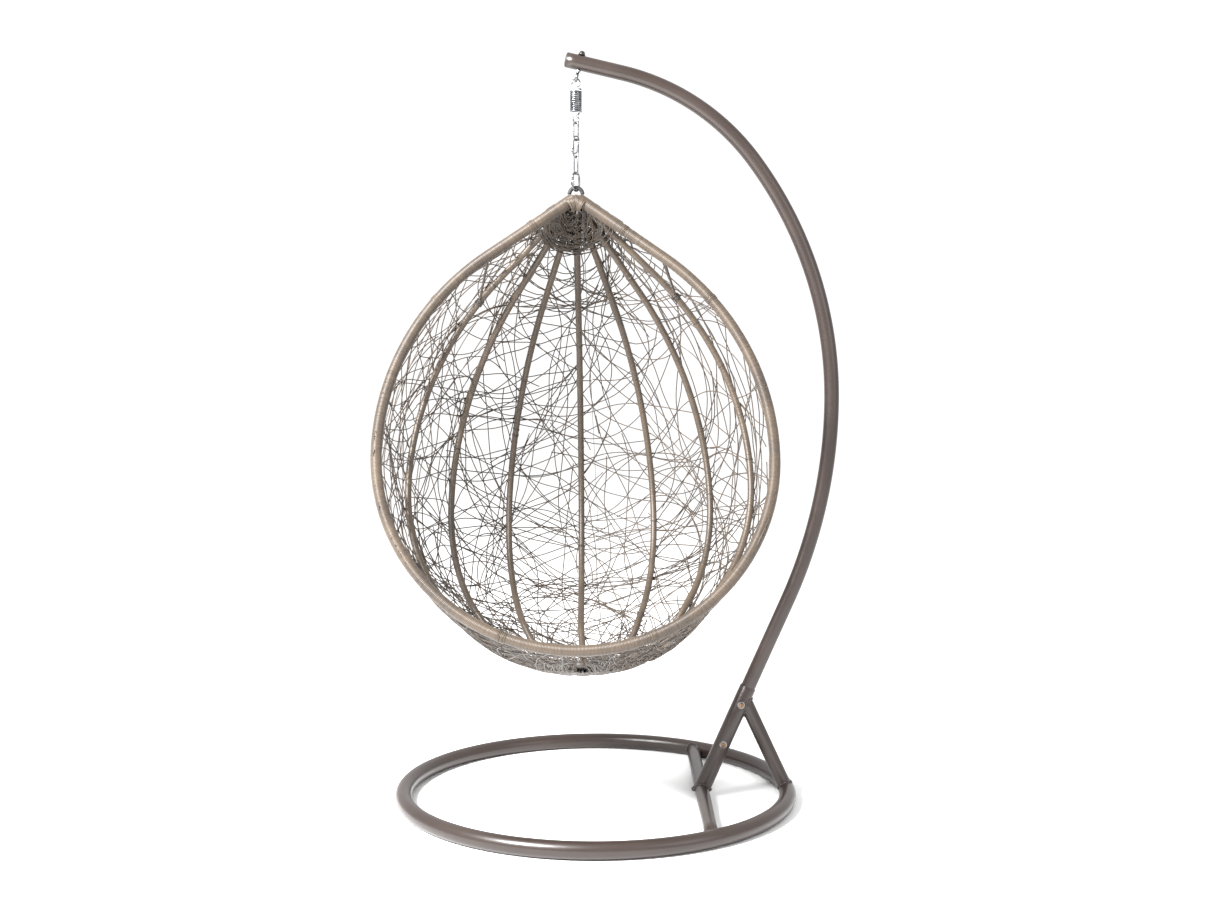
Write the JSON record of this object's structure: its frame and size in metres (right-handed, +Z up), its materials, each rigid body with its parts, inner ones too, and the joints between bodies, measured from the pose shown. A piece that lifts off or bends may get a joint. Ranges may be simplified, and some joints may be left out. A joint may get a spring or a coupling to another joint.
{
  "type": "hanging egg chair",
  "caption": "Hanging egg-shaped wicker chair on a spring and chain, under a curved pole with a ring base.",
  "frame": {"origin": "on the floor, under the middle of the whole chair and stand", "axes": "+Z up, -Y towards the basket's open side, +X towards the pole"},
  "size_m": [1.1669, 1.043, 1.9277],
  "materials": {
    "stand_coat": "satin bronze-brown powder coat",
    "plug_plastic": "matt brown plastic",
    "lock_brass": "brass-coloured plating",
    "zinc": "bright zinc plate",
    "black_plastic": "black plastic",
    "black_rubber": "black rubber",
    "bow_paint": "dark reddish-brown paint",
    "frame_coat": "brown coat on steel",
    "rattan_wrap": "tan wicker strand wound tight",
    "rattan_weave": "tan-brown woven wicker strand",
    "rattan_dark": "dark brown wicker strand"
  },
  "bodies": {
    "stand": {"base_ring": "stand_coat", "cross_bar": "stand_coat", "socket_tube": "stand_coat", "rear_brace": "stand_coat", "pole": "stand_coat", "pole_end_plug": "plug_plastic", "upper_lock_bolt": "lock_brass", "upper_lock_nut": "zinc", "lower_lock_bolt": "lock_brass", "lower_lock_nut": "zinc", "eye_bolt": "zinc", "cap_nut_washer": "black_plastic", "eye_bolt_cap_nut": "black_plastic", "eye_bolt_nut": "zinc"},
    "spring_top": {"spring_upper_hook": "zinc", "spring_coil": "zinc"},
    "spring_bottom": {"spring_lower_hook": "zinc"},
    "link_1": {"chain_link_1": "zinc"},
    "link_2": {"chain_link_2": "zinc"},
    "link_3": {"chain_link_3": "zinc"},
    "spare_link": {"spare_link": "zinc"},
    "quick_link": {"quick_link": "zinc"},
    "quick_nut": {"quick_link_nut": "zinc"},
    "basket": {"hanger_bow": "bow_paint", "bow_sleeve": "black_rubber", "rim_tube": "frame_coat", "rim_wrap": "rattan_wrap", "crown_hoop": "frame_coat", "rib_tube_1": "frame_coat", "rib_tube_2": "frame_coat", "rib_tube_3": "frame_coat", "rib_tube_4": "frame_coat", "rib_tube_5": "frame_coat", "rib_tube_6": "frame_coat", "rib_tube_7": "frame_coat", "rib_wrap_1": "rattan_wrap", "rib_wrap_2": "rattan_wrap", "rib_wrap_3": "rattan_wrap", "rib_wrap_4": "rattan_wrap", "rib_wrap_5": "rattan_wrap", "rib_wrap_6": "rattan_wrap", "rib_wrap_7": "rattan_wrap", "bottom_hub": "frame_coat", "hub_bolt": "zinc", "left_strut": "rattan_dark", "right_strut": "rattan_dark", "weave_panel_1": "rattan_weave", "weave_panel_2": "rattan_weave", "weave_panel_3": "rattan_weave", "weave_panel_4": "rattan_weave", "weave_panel_5": "rattan_weave", "weave_panel_6": "rattan_weave", "weave_panel_7": "rattan_weave", "weave_panel_8": "rattan_weave", "apex_weave_cap": "rattan_dark"}
  },
  "joints": [
    {"name": "spring_swing", "type": "hinge", "parent": "stand", "child": "spring_top", "pos_m": [-0.0909, 0, 1.85805], "axis": [1, 0, 0], "range_deg": [-20, 20]},
    {"name": "spring_stretch", "type": "slide", "parent": "spring_top", "child": "spring_bottom", "axis": [0, 0, -1], "range_m": [0, 0.035], "stiffness_N_per_m": 20000, "springref_m": -0.0066, "deforming": ["spring_coil"]},
    {"name": "link_1_swing", "type": "hinge", "parent": "spring_bottom", "child": "link_1", "pos_m": [-0.0909, 0, 1.745], "axis": [0.6428, 0.766, 0], "range_deg": [-12, 12]},
    {"name": "link_2_swing", "type": "hinge", "parent": "link_1", "child": "link_2", "pos_m": [-0.0909, 0, 1.70225], "axis": [0.829, -0.5592, 0], "range_deg": [-12, 12]},
    {"name": "link_3_swing", "type": "hinge", "parent": "link_2", "child": "link_3", "pos_m": [-0.0909, 0, 1.65945], "axis": [0.8572, 0.515, 0], "range_deg": [-12, 12]},
    {"name": "spare_link_swing", "type": "hinge", "parent": "link_1", "child": "spare_link", "pos_m": [-0.0909, 0, 1.70625], "axis": [-0.829, 0.5592, 0], "range_deg": [0, 35]},
    {"name": "chain_twist", "type": "hinge", "parent": "link_3", "child": "quick_link", "pos_m": [-0.0909, 0, 1.6212], "axis": [0, 0, 1], "range_deg": [-35, 20]},
    {"name": "quick_nut_slide", "type": "slide", "parent": "quick_link", "child": "quick_nut", "axis": [0, 0, 1], "range_m": [0, 0.008]},
    {"name": "basket_tilt", "type": "hinge", "parent": "quick_link", "child": "basket", "pos_m": [-0.0909, 0, 1.5829], "axis": [0.999, 0.0436, 0], "range_deg": [-15, 15]}
  ]
}
